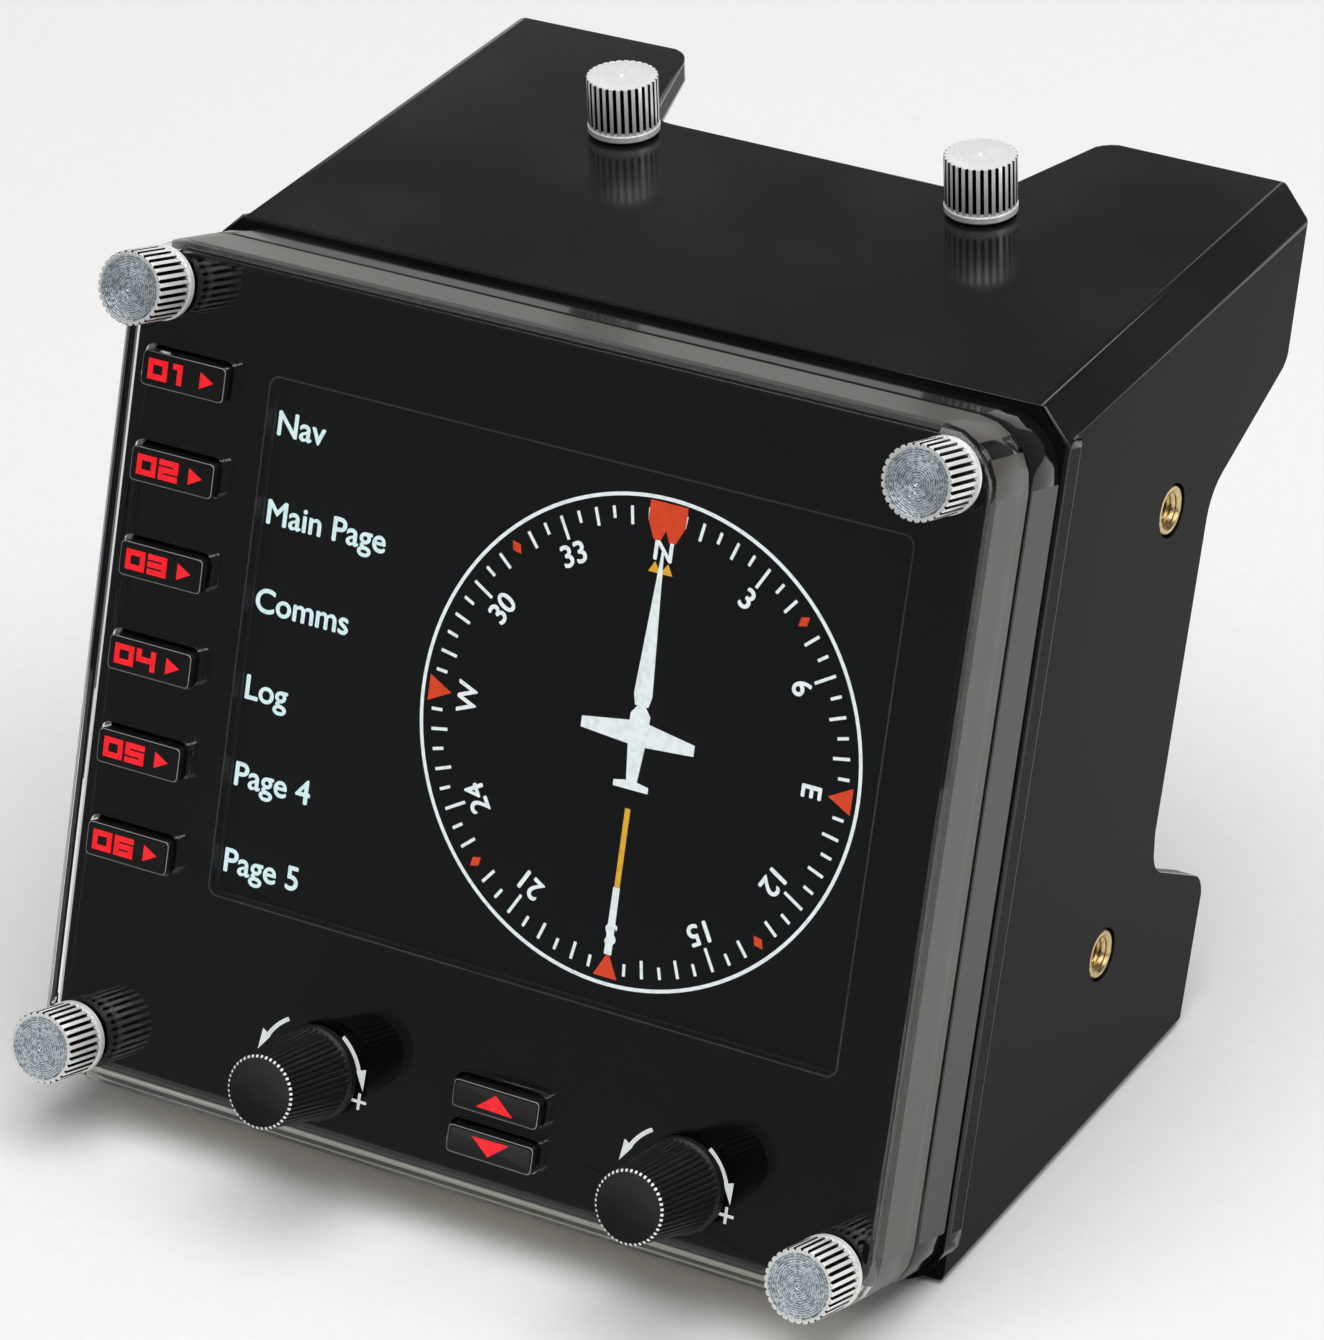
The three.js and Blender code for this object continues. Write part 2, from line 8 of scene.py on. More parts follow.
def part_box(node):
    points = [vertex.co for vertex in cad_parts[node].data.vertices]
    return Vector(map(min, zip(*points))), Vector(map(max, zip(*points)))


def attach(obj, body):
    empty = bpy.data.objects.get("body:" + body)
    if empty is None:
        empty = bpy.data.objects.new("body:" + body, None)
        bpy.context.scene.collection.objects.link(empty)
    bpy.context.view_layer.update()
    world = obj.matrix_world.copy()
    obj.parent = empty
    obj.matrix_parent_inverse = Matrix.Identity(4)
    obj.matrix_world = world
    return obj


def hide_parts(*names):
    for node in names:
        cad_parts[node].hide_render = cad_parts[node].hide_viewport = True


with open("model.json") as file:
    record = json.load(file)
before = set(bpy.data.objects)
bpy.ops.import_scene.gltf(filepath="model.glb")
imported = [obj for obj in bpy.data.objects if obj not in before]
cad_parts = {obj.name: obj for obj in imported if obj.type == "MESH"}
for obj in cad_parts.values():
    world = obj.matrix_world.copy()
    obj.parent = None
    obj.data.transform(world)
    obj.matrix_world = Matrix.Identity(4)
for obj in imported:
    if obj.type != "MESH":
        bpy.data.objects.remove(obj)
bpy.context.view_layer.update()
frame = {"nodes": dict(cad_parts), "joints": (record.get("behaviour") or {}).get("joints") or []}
nodes = frame["nodes"]
joints = {joint["name"]: joint for joint in frame["joints"]}
mm = 0.001  # local shapes are drawn in millimetres

# The display face: x right, y into the face, z up the face, from the face's centre
knobPlaces = {"x": 5.85, "spacing": 42, "z": -35.4}
intoFace = Vector(joints["left_knob_turn"]["axis"]).normalized()
upFace = Vector((1, 0, 0)).cross(intoFace)
betweenKnobs = (Vector(joints["left_knob_turn"]["pos_m"]) + Vector(joints["right_knob_turn"]["pos_m"])) / 2
faceCentre = betweenKnobs - Vector((1, 0, 0)) * knobPlaces["x"] * mm - upFace * knobPlaces["z"] * mm
faceTurn = Matrix((Vector((1, 0, 0)), intoFace, upFace)).transposed().to_4x4()
facePlane = Matrix.Translation(faceCentre) @ faceTurn


def onFace(x=0, z=0, depth=0):
    return facePlane @ Matrix.Translation(Vector((x, depth, z)) * mm)


cameraSettings = {
    "aim": (-0.0003, 0.0028, 0.0400), "azimuth": 31.47, "elevation": 30.31, "roll": 2.18,
    "distance": 0.65, "lens": 172.6, "sensor": 36,
}


def addCamera(settings):
    turn, lift = radians(settings["azimuth"]), radians(settings["elevation"])
    away = Vector((sin(turn) * cos(lift), -cos(turn) * cos(lift), sin(lift)))
    lens = bpy.data.cameras.new("camera")
    lens.lens = settings["lens"]
    lens.sensor_width = settings["sensor"]
    lens.clip_start = 0.01
    camera = bpy.data.objects.new("camera", lens)
    bpy.context.collection.objects.link(camera)
    look = (-away).to_track_quat("-Z", "Y").to_matrix().to_4x4()
    spin = Matrix.Rotation(radians(-settings["roll"]), 4, "Z")
    stand = Matrix.Translation(Vector(settings["aim"]) + away * settings["distance"])
    camera.matrix_world = stand @ look @ spin
    bpy.context.scene.camera = camera


# Each softbox points at the object
softboxes = [
    {"name": "overhead", "place": (0.2, -0.1, 1.3), "size": (1.6, 1.4), "power": 22,
     "tint": (1, 1, 1)},
    {"name": "back_left", "place": (-0.62, 1.22, 0.28), "size": (1.7, 0.7), "power": 2.2,
     "tint": (1, 0.99, 0.97)},
    {"name": "right_side", "place": (1.2, 0.1, 0.5), "size": (0.5, 0.8), "power": 3,
     "tint": (1, 0.98, 0.95)},
]
worldSettings = {"tint": (0.93, 0.96, 1.0), "strength": 0.13}


def addLights():
    for box in softboxes:
        light = bpy.data.lights.new(box["name"], "AREA")
        light.shape = "RECTANGLE"
        light.size, light.size_y = box["size"]
        light.energy = box["power"]
        light.color = box["tint"]
        lamp = bpy.data.objects.new(box["name"], light)
        bpy.context.collection.objects.link(lamp)
        lamp.location = box["place"]
        lamp.rotation_euler = (-Vector(box["place"])).to_track_quat("-Z", "Y").to_euler()
    world = bpy.data.worlds.new("studio")
    bpy.context.scene.world = world
    world.use_nodes = True
    back = world.node_tree.nodes["Background"]
    back.inputs["Color"].default_value = (*worldSettings["tint"], 1)
    back.inputs["Strength"].default_value = worldSettings["strength"]


def newGroup(name, inputs, outputs):
    group = bpy.data.node_groups.new(name, "ShaderNodeTree")
    for label, value in inputs.items():
        socket = group.interface.new_socket(label, in_out="INPUT", socket_type="NodeSocketFloat")
        socket.default_value = value
    for label in outputs:
        group.interface.new_socket(label, in_out="OUTPUT", socket_type="NodeSocketFloat")
    start = group.nodes.new("NodeGroupInput")
    end = group.nodes.new("NodeGroupOutput")
    coords = group.nodes.new("ShaderNodeTexCoord")
    return group, start, end, coords.outputs["Object"]


def addMath(tree, operation, first, second=None):
    node = tree.nodes.new("ShaderNodeMath")
    node.operation = operation
    for socket, value in zip(node.inputs, (first, second)):
        if isinstance(value, (int, float)):
            socket.default_value = value
        elif value is not None:
            tree.links.new(value, socket)
    return node.outputs[0]


def addNoise(tree, vector, scale, detail=3.0):
    node = tree.nodes.new("ShaderNodeTexNoise")
    tree.links.new(vector, node.inputs["Vector"])
    node.inputs["Detail"].default_value = detail
    if isinstance(scale, (int, float)):
        node.inputs["Scale"].default_value = scale
    else:
        tree.links.new(scale, node.inputs["Scale"])
    return node.outputs["Fac"]


def makeGrainGroup():
    # Fine moulded grain, with a slower waviness under it
    group, start, end, coords = newGroup("moulded grain", {"Scale": 4000, "Waviness": 0.3}, ["Height"])
    fine = addNoise(group, coords, start.outputs["Scale"], 2)
    slow = addNoise(group, coords, 60, 1)
    height = addMath(group, "ADD", fine, addMath(group, "MULTIPLY", slow, start.outputs["Waviness"]))
    group.links.new(height, end.inputs["Height"])
    return group


def makeSmudgeGroup():
    # Roughness that drifts between its base value and a little more, as handled plastic does
    inputs = {"Base": 0.2, "Spread": 0.1, "Scale": 45}
    group, start, end, coords = newGroup("handling", inputs, ["Roughness", "Mask"])
    cloud = addNoise(group, coords, start.outputs["Scale"], 5)
    mask = group.nodes.new("ShaderNodeMapRange")
    mask.inputs["From Min"].default_value = 0.42
    mask.inputs["From Max"].default_value = 0.68
    group.links.new(cloud, mask.inputs["Value"])
    spread = addMath(group, "MULTIPLY", mask.outputs["Result"], start.outputs["Spread"])
    group.links.new(addMath(group, "ADD", start.outputs["Base"], spread), end.inputs["Roughness"])
    group.links.new(mask.outputs["Result"], end.inputs["Mask"])
    return group


def makeTurnedGroup():
    # Tool marks in rings round the piece's own axis, which is its local Y
    inputs = {"Pitch": 0.0003, "Jitter": 1.5}
    group, start, end, coords = newGroup("turned rings", inputs, ["Height", "Tone"])
    split = group.nodes.new("ShaderNodeSeparateXYZ")
    group.links.new(coords, split.inputs[0])
    across = addMath(group, "MULTIPLY", split.outputs["X"], split.outputs["X"])
    along = addMath(group, "MULTIPLY", split.outputs["Z"], split.outputs["Z"])
    radius = addMath(group, "SQRT", addMath(group, "ADD", across, along))
    turns = addMath(group, "DIVIDE", radius, start.outputs["Pitch"])
    grain = addNoise(group, coords, 3400, 4)
    phase = addMath(group, "ADD", turns, addMath(group, "MULTIPLY", grain, start.outputs["Jitter"]))
    wave = addMath(group, "SINE", addMath(group, "MULTIPLY", phase, 2 * pi))
    group.links.new(wave, end.inputs["Height"])
    tone = addMath(group, "ADD", addMath(group, "MULTIPLY", wave, 0.14), grain)
    group.links.new(tone, end.inputs["Tone"])
    return group


grainGroup = makeGrainGroup()
smudgeGroup = makeSmudgeGroup()
turnedGroup = makeTurnedGroup()


def newMaterial(name, color, **sockets):
    material = bpy.data.materials.new(name)
    material.use_nodes = True
    shader = material.node_tree.nodes["Principled BSDF"]
    shader.inputs["Base Color"].default_value = (*color, 1)
    for label, value in sockets.items():
        shader.inputs[label.replace("_", " ")].default_value = value
    return material, material.node_tree, shader


def useGroup(tree, group, **values):
    node = tree.nodes.new("ShaderNodeGroup")
    node.node_tree = group
    for label, value in values.items():
        node.inputs[label].default_value = value
    return node


def addBump(tree, shader, height, distance, strength=1.0):
    bump = tree.nodes.new("ShaderNodeBump")
    bump.inputs["Distance"].default_value = distance
    bump.inputs["Strength"].default_value = strength
    tree.links.new(height, bump.inputs["Height"])
    tree.links.new(bump.outputs["Normal"], shader.inputs["Normal"])


def addTones(tree, shader, factor, dark, light, low=0.3, high=0.7):
    ramp = tree.nodes.new("ShaderNodeValToRGB")
    ramp.color_ramp.elements[0].position = low
    ramp.color_ramp.elements[0].color = (*dark, 1)
    ramp.color_ramp.elements[1].position = high
    ramp.color_ramp.elements[1].color = (*light, 1)
    tree.links.new(factor, ramp.inputs["Fac"])
    tree.links.new(ramp.outputs["Color"], shader.inputs["Base Color"])


def mouldedPlastic(name, color, roughness, spread=0.06, grain=0.000004, scale=4000, **sockets):
    material, tree, shader = newMaterial(name, color, **sockets)
    handling = useGroup(tree, smudgeGroup, Base=roughness, Spread=spread)
    tree.links.new(handling.outputs["Roughness"], shader.inputs["Roughness"])
    lighter = tuple(min(1, part * 1.35 + 0.001) for part in color)
    addTones(tree, shader, handling.outputs["Mask"], color, lighter, 0, 1)
    if grain:
        texture = useGroup(tree, grainGroup, Scale=scale)
        addBump(tree, shader, texture.outputs["Height"], grain)
    return material


def metal(name, dark, light, roughness, pitch=0.0003, depth=0.00001, metalness=1.0):
    material, tree, shader = newMaterial(name, light, Metallic=metalness)
    turned = useGroup(tree, turnedGroup, Pitch=pitch)
    addTones(tree, shader, turned.outputs["Tone"], dark, light)
    handling = useGroup(tree, smudgeGroup, Base=roughness, Spread=0.1, Scale=300)
    tree.links.new(handling.outputs["Roughness"], shader.inputs["Roughness"])
    addBump(tree, shader, turned.outputs["Height"], depth)
    return material


def glowing(name, color, strength=1.0):
    material, tree, shader = newMaterial(name, (0, 0, 0), Roughness=0.4, Emission_Strength=strength)
    # The lit dots of a screen, or the slight unevenness of a lamp behind a legend
    cells = tree.nodes.new("ShaderNodeTexNoise")
    cells.inputs["Scale"].default_value = 1500
    coords = tree.nodes.new("ShaderNodeTexCoord")
    tree.links.new(coords.outputs["Object"], cells.inputs["Vector"])
    ramp = tree.nodes.new("ShaderNodeValToRGB")
    ramp.color_ramp.elements[0].position = 0.25
    ramp.color_ramp.elements[0].color = (*[part * 0.82 for part in color], 1)
    ramp.color_ramp.elements[1].position = 0.55
    ramp.color_ramp.elements[1].color = (*color, 1)
    tree.links.new(cells.outputs["Fac"], ramp.inputs["Fac"])
    tree.links.new(ramp.outputs["Color"], shader.inputs["Emission Color"])
    return material


def clearAcrylic():
    material, tree, shader = newMaterial(
        "clear acrylic", (0.97, 0.985, 0.98), Transmission_Weight=1.0, IOR=1.49, Specular_IOR_Level=0.22)
    handling = useGroup(tree, smudgeGroup, Base=0.0, Spread=0.02, Scale=30)
    tree.links.new(handling.outputs["Roughness"], shader.inputs["Roughness"])
    return material


def circuitGreen():
    material, tree, shader = newMaterial("solder mask", (0.02, 0.12, 0.05), Roughness=0.3)
    coords = tree.nodes.new("ShaderNodeTexCoord")
    tracks = tree.nodes.new("ShaderNodeTexBrick")
    tracks.inputs["Scale"].default_value = 320
    tracks.inputs["Mortar Size"].default_value = 0.03
    tracks.inputs["Color1"].default_value = (0.012, 0.09, 0.035, 1)
    tracks.inputs["Color2"].default_value = (0.016, 0.11, 0.045, 1)
    tracks.inputs["Mortar"].default_value = (0.05, 0.2, 0.09, 1)
    turn = tree.nodes.new("ShaderNodeMapping")
    turn.inputs["Rotation"].default_value = (pi / 2, 0, 0)
    tree.links.new(coords.outputs["Object"], turn.inputs["Vector"])
    tree.links.new(turn.outputs["Vector"], tracks.inputs["Vector"])
    tree.links.new(tracks.outputs["Color"], shader.inputs["Base Color"])
    addBump(tree, shader, tracks.outputs["Fac"], 0.00002)
    return material


def paleFloor():
    # Matt paper, a touch uneven, so that it is plain but not flat
    material, tree, shader = newMaterial(
        "pale floor", (0.86, 0.86, 0.855), Roughness=0.9, Specular_IOR_Level=0.1)
    texture = useGroup(tree, grainGroup, Scale=700, Waviness=0.1)
    addTones(tree, shader, texture.outputs["Height"], (0.85, 0.85, 0.845), (0.88, 0.88, 0.875), 0.2, 0.9)
    return material


finishes = {
    # One black plastic in three copies: the walls' reflection turned down as painted shade, the top's
    # turned up as a painted sheen, the rounded edges glossier as a painted highlight
    "bracket": mouldedPlastic("satin black", (0.006, 0.006, 0.0062), 0.3, 0.05, 0.0000008, 6000,
                              Specular_IOR_Level=0.04),
    "bracketTopSheen": mouldedPlastic("black top with painted sheen", (0.006, 0.006, 0.0062), 0.13, 0.04, 0.0000008, 6000,
                                 Specular_IOR_Level=0.42),
    "bracketEdgeHighlight": mouldedPlastic("black edge with painted highlight", (0.006, 0.006, 0.0062), 0.12, 0.04, 0),
    # Brownish grey on the outside of the clear cover's top and right walls: a painted reflection
    "coverWallReflection": mouldedPlastic("cover wall with painted reflection", (0.125, 0.115, 0.1), 0.3, 0.05, 0,
                                Transmission_Weight=0.45),
    "housing": mouldedPlastic("gloss black", (0.006, 0.006, 0.0065), 0.07, 0.03, 0),
    "cover": clearAcrylic(),
    "panel": mouldedPlastic("panel black", (0.0025, 0.0025, 0.0028), 0.35, 0.05, 0,
                            Specular_IOR_Level=0.08),
    # A warm glow on the cover's base wall: painted light where the wall is in shade
    "coverBaseGlow": mouldedPlastic("cover base with painted glow", (0.3, 0.28, 0.24), 0.35, 0.05, 0, Transmission_Weight=0.3,
                                Emission_Strength=0.16, Emission_Color=(1, 0.94, 0.82, 1)),
    # White print with a painted glow: the ink shines though no lamp is behind it
    "print": mouldedPlastic("white print with painted glow", (0.9, 0.92, 0.92), 0.5, 0.1, 0, Emission_Strength=0.55,
                            Emission_Color=(0.9, 0.92, 0.92, 1)),
    "windowLine": mouldedPlastic("window line", (0.085, 0.085, 0.08), 0.3, 0.1, 0),
    "gasket": mouldedPlastic("foam rubber", (0.012, 0.012, 0.012), 0.8, 0.1, 0.00004, 3000),
    "screen": mouldedPlastic("screen glass", (0.003, 0.003, 0.0033), 0.12, 0.04, 0,
                             Specular_IOR_Level=0.12),
    "dialBlack": mouldedPlastic("dial black", (0.0004, 0.0004, 0.0006), 0.3, 0.05, 0,
                                Specular_IOR_Level=0.05),
    "litWhite": glowing("lit white", (0.86, 0.92, 0.94)),
    "litMenu": glowing("lit menu", (0.74, 0.93, 0.95)),
    "litOrange": glowing("lit orange", (0.72, 0.055, 0.01)),
    "litYellow": glowing("lit yellow", (0.78, 0.42, 0.03)),
    "litRed": glowing("lit red", (0.95, 0.012, 0.022)),
    "key": mouldedPlastic("key black", (0.009, 0.008, 0.008), 0.16, 0.06, 0),
    # Lighter grey on the keys' rounded rims: a painted highlight
    "keyEdgeHighlight": mouldedPlastic("key edge with painted highlight", (0.35, 0.34, 0.33), 0.25, 0.05, 0),
    "lamp": mouldedPlastic("lamp red", (0.5, 0.01, 0.015), 0.2, 0.05, 0),
    "silicone": mouldedPlastic("silicone", (0.5, 0.5, 0.47), 0.55, 0.1, 0.00001, 3000),
    "knob": mouldedPlastic("knob black", (0.006, 0.006, 0.0065), 0.36, 0.08, 0.000002, 5000,
                           Specular_IOR_Level=0.3),
    # Near white rib ends round the knobs' front rims: a painted highlight
    "knobRimHighlight": mouldedPlastic("knob rib ends with painted highlight", (0.85, 0.85, 0.85), 0.4, 0.1, 0),
    "aluminium": metal("knurled aluminium", (0.72, 0.72, 0.72), (0.93, 0.93, 0.92), 0.16, 0.0004, 0.000002),
    # Aluminium ribs in two copies: pale crests as a painted highlight, near black grooves as painted shade
    "ribCrestHighlight": metal("bright rib", (0.88, 0.88, 0.86), (0.97, 0.97, 0.95), 0.3, 0.0004, 0.000002,
                      metalness=0.35),
    "ribGrooveShade": metal("rib groove with painted shade", (0.02, 0.02, 0.02), (0.06, 0.06, 0.06), 0.2, 0.0004, 0.000002),
    "turnedEnd": metal("turned aluminium", (0.16, 0.21, 0.26), (0.86, 0.92, 0.95), 0.3, 0.00024,
                       0.000018, metalness=0.7),
    "steel": metal("plated steel", (0.42, 0.43, 0.44), (0.66, 0.67, 0.68), 0.25, 0.0009, 0.000002),
    "brass": metal("turned brass", (0.5, 0.36, 0.16), (0.78, 0.6, 0.32), 0.2, 0.0003, 0.000004),
    "flex": mouldedPlastic("amber film", (0.42, 0.17, 0.03), 0.3, 0.1, 0.00001, 900),
    "film": mouldedPlastic("white film", (0.8, 0.8, 0.78), 0.6, 0.1, 0.000005, 3000),
    "board": circuitGreen(),
    "chip": mouldedPlastic("epoxy", (0.02, 0.02, 0.021), 0.5, 0.1, 0.00001, 5000),
    "floor": paleFloor(),
}
print("materials made:", len(finishes))


def joinShapes(shapes):
    points, faces = [], []
    for somePoints, someFaces in shapes:
        shift = len(points)
        points += list(somePoints)
        faces += [tuple(i + shift for i in face) for face in someFaces]
    return points, faces


def makePiece(name, shape, materials, where=None, smooth=30, faceFinish=None):
    points, faces = shape
    mesh = bpy.data.meshes.new(name)
    mesh.from_pydata([Vector(point) * mm for point in points], [], faces)
    for material in materials:
        mesh.materials.append(finishes[material])
    if faceFinish:
        for polygon in mesh.polygons:
            polygon.material_index = faceFinish(polygon.center / mm, polygon.normal)
    shapeMesh = bmesh.new()
    shapeMesh.from_mesh(mesh)
    bmesh.ops.recalc_face_normals(shapeMesh, faces=shapeMesh.faces)
    shapeMesh.to_mesh(mesh)
    shapeMesh.free()
    mesh.shade_smooth()
    mesh.set_sharp_from_angle(angle=radians(smooth))
    piece = bpy.data.objects.new(name, mesh)
    bpy.context.collection.objects.link(piece)
    piece.matrix_world = where if where else facePlane
    return piece


def slab(outline, front, thickness):
    # A flat solid: outline points (x, z), front face at depth `front`
    count = len(outline)
    points = [(x, front, z) for x, z in outline] + [(x, front + thickness, z) for x, z in outline]
    faces = [tuple(range(count)), tuple(range(2 * count - 1, count - 1, -1))]
    for i in range(count):
        following = (i + 1) % count
        faces.append((i, following, following + count, i + count))
    return points, faces


def ringSlab(outer, inner, front, thickness):
    count = len(outer)
    points = []
    back = front + thickness
    for outline, depth in ((outer, front), (inner, front), (inner, back), (outer, back)):
        points += [(x, depth, z) for x, z in outline]
    faces = []
    for ring in range(4):
        for i in range(count):
            following = (i + 1) % count
            base, above = ring * count, ((ring + 1) % 4) * count
            faces.append((base + i, base + following, above + following, above + i))
    return points, faces


def circlePoints(radius, sides=96):
    angles = [2 * pi * i / sides for i in range(sides)]
    return [(radius * cos(angle), radius * sin(angle)) for angle in angles]


def roundedBox(width, height, corner, x=0, z=0, steps=6):
    points = []
    for quarter, (signX, signZ) in enumerate(((1, 1), (-1, 1), (-1, -1), (1, -1))):
        middleX = x + signX * (width / 2 - corner)
        middleZ = z + signZ * (height / 2 - corner)
        for step in range(steps + 1):
            angle = pi / 2 * (quarter + step / steps)
            points.append((middleX + corner * cos(angle), middleZ + corner * sin(angle)))
    return points


def loft(outlines):
    # A closed solid through outlines of equal length, each with its own depth
    count = len(outlines[0][0])
    points = [(x, depth, z) for outline, depth in outlines for x, z in outline]
    faces = [tuple(range(count))]
    for layer in range(len(outlines) - 1):
        for i in range(count):
            following = (i + 1) % count
            low, high = layer * count, (layer + 1) * count
            faces.append((low + i, low + following, high + following, high + i))
    last = (len(outlines) - 1) * count
    faces.append(tuple(range(last + count - 1, last - 1, -1)))
    return points, faces


def turn(outline, angle):
    return [(x * cos(angle) - z * sin(angle), x * sin(angle) + z * cos(angle)) for x, z in outline]


def ribbedTurn(rings, sides, ribs=0, closed=True):
    # A turned solid about local Y: rings are (radius, depth, rib depth)
    points, faces = [], []
    for radius, depth, ribDepth in rings:
        for i in range(sides):
            angle = 2 * pi * i / sides
            groove = min(1, 1.5 * abs(sin(ribs * angle / 2))) if ribs else 1
            distance = radius - ribDepth * (1 - groove)
            points.append((distance * cos(angle), depth, distance * sin(angle)))
    for ring in range(len(rings) - 1):
        for i in range(sides):
            following = (i + 1) % sides
            low, high = ring * sides, (ring + 1) * sides
            faces.append((low + i, low + following, high + following, high + i))
    last = (len(rings) - 1) * sides
    if closed:
        faces.append(tuple(range(sides)))
        faces.append(tuple(range(last + sides - 1, last - 1, -1)))
    else:
        for i in range(sides):
            following = (i + 1) % sides
            faces.append((last + i, last + following, following, i))
    return points, faces


def lettering(word, size, x, z, front, angle=0.0, thickness=0.03, weight=0.0, align="LEFT"):
    # Filled letters, drawn four times a little apart so that the strokes come out heavier
    curve = bpy.data.curves.new(word, "FONT")
    curve.body = word
    curve.size = size
    curve.align_x = align
    curve.align_y = "CENTER" if align == "CENTER" else "BOTTOM_BASELINE"
    curve.extrude = thickness / 2
    curve.resolution_u = 4
    holder = bpy.data.objects.new(word, curve)
    mesh = bpy.data.meshes.new_from_object(holder)
    faces = [tuple(polygon.vertices) for polygon in mesh.polygons]
    copies = []
    for shiftX, shiftZ in ((-weight, 0), (weight, 0), (0, -weight), (0, weight)):
        points = []
        for vertex in mesh.vertices:
            px, pz = vertex.co.x + shiftX, vertex.co.y + shiftZ
            points.append((x + px * cos(angle) - pz * sin(angle), front + thickness / 2 - vertex.co.z,
                           z + px * sin(angle) + pz * cos(angle)))
        copies.append((points, faces))
    bpy.data.objects.remove(holder)
    bpy.data.curves.remove(curve)
    bpy.data.meshes.remove(mesh)
    return joinShapes(copies)


# Lengths in metres: gather joins the ends of edges too short to round
softenSettings = {
    "weld": 0.000002, "gather": 0.0003, "level": 1, "sharp": 38, "smooth": 30,
    "flatArea": 0.00002, "flatMatch": 0.99998,
}


def softenNode(nodeName, name, materials, slot, rounding, choose=None):
    # The same shape as the CAD node, with its longer sharp edges rounded as a mould leaves them
    s = softenSettings
    shape = bmesh.new()
    shape.from_mesh(nodes[nodeName].data)
    bmesh.ops.remove_doubles(shape, verts=shape.verts, dist=s["weld"])
    bmesh.ops.dissolve_limit(shape, angle_limit=radians(s["level"]), verts=shape.verts, edges=shape.edges)
    bmesh.ops.remove_doubles(shape, verts=shape.verts, dist=s["gather"])
    weight = shape.edges.layers.float.new("bevel_weight_edge")
    for edge in shape.edges:
        sharp = len(edge.link_faces) == 2 and edge.calc_face_angle() > radians(s["sharp"])
        edge[weight] = 1.0 if sharp and edge.calc_length() > rounding["shortest"] * mm else 0.0
    flatWays = [face.normal.copy() for face in shape.faces if face.calc_area() > s["flatArea"]]
    mesh = bpy.data.meshes.new(name)
    shape.to_mesh(mesh)
    shape.free()
    mesh.materials.clear()
    piece = bpy.data.objects.new(name, mesh)
    bpy.context.collection.objects.link(piece)
    bevel = piece.modifiers.new("rounded edges", "BEVEL")
    bevel.width = rounding["radius"] * mm
    bevel.segments = rounding["steps"]
    bevel.limit_method = "WEIGHT"
    bevel.use_clamp_overlap = False
    bevel.miter_outer = "MITER_ARC"
    bpy.context.view_layer.update()
    finished = piece.evaluated_get(bpy.context.evaluated_depsgraph_get())
    rounded = bpy.data.meshes.new_from_object(finished)
    piece.modifiers.clear()
    piece.data = rounded
    for material in materials:
        rounded.materials.append(finishes[material])
    rounded.set_sharp_from_angle(angle=radians(s["smooth"]))
    for polygon in rounded.polygons:
        flat = max(polygon.normal.dot(way) for way in flatWays) > s["flatMatch"]
        polygon.use_smooth = not flat
        polygon.material_index = choose(polygon.center, polygon.normal, flat) if choose else 0
    place(piece, "module", slot, nodeName)


def finishNode(nodeName, material):
    mesh = nodes[nodeName].data
    mesh.materials.clear()
    mesh.materials.append(finishes[material])


def place(piece, body, slot, *replaced):
    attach(piece, body)
    if replaced:
        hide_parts(*replaced)


addCamera(cameraSettings)
addLights()

sides = ("left", "right")
corners = ("upper_left", "upper_right", "lower_left", "lower_right")


bracketRounding = {"radius": 0.42, "steps": 3, "shortest": 3}
coverRounding = {"radius": 0.25, "steps": 2, "shortest": 0.9}
housingRounding = {"radius": 0.3, "steps": 2, "shortest": 0.9}
coverSettings = {"front": 1.4, "middleZ": -0.3, "inset": 1.0, "halfWidth": 48.3, "halfHeight": 43.6}


def bracketFinish(centre, normal, flat):
    # 0 for the walls, dimmed as painted shade, 1 for the top, a painted sheen, 2 for the rounded edges, a
    # painted highlight
    if not flat:
        return 2
    return 1 if normal.z > 0.98 else 0


def coverFinish(centre, normal, flat):
    # The outside of the walls, but for the left one: 1 at the top and right, a painted reflection, 2 at the
    # base, a painted glow
    spot = facePlane.inverted() @ centre / mm
    way = faceTurn.inverted().to_3x3() @ normal
    acrossX, acrossZ = abs(spot.x), abs(spot.z - coverSettings["middleZ"])
    outside = (acrossX > coverSettings["halfWidth"] - coverSettings["inset"]
               or acrossZ > coverSettings["halfHeight"] - coverSettings["inset"])
    outward = way.x * spot.x + way.z * (spot.z - coverSettings["middleZ"]) > 0 and abs(way.y) < 0.2
    if not (outside and outward and way.x > -0.7 and spot.y > coverSettings["front"]):
        return 0
    return 2 if way.z < -0.7 else 1


def makeShells():
    softenNode("mounting_bracket", "bracket_shell", ["bracket", "bracketTopSheen", "bracketEdgeHighlight"],
               "bracket_plastic", bracketRounding, bracketFinish)
    softenNode("front_cover", "clear_front", ["cover", "coverWallReflection", "coverBaseGlow"],
               "clear_cover", coverRounding, coverFinish)
    softenNode("rear_housing", "rear_shell", ["housing"], "housing_plastic", housingRounding)
    for nodeName, material in (
            ("face_panel", "panel"), ("window_gasket", "gasket"), ("lcd_glass", "screen"),
            ("lcd_backlight", "film"), ("lcd_frame", "steel"), ("lcd_flex", "flex"),
            ("soft_key_pad", "silicone"), ("page_key_pad", "silicone"), ("main_circuit_board", "board"),
            ("processor_chip", "chip"), ("memory_chip", "chip"), ("usb_socket", "steel"),
            ("left_encoder", "steel"), ("right_encoder", "steel"),
            ("left_encoder_shaft", "aluminium"), ("right_encoder_shaft", "aluminium")):
        finishNode(nodeName, material)
    for nodeName in nodes:
        if "lamp" in nodeName:
            finishNode(nodeName, "lamp")


screwSettings = {
    "radius": 3.7, "length": 6.35, "collar": 1.1, "groove": 0.28, "ribs": 30,
    "seat": -0.3, "dimple": 0.28, "shank": 1.5, "threadPitch": 0.7, "threadDepth": 0.25,
    "cornerShank": 17.9, "topShank": 7,
}


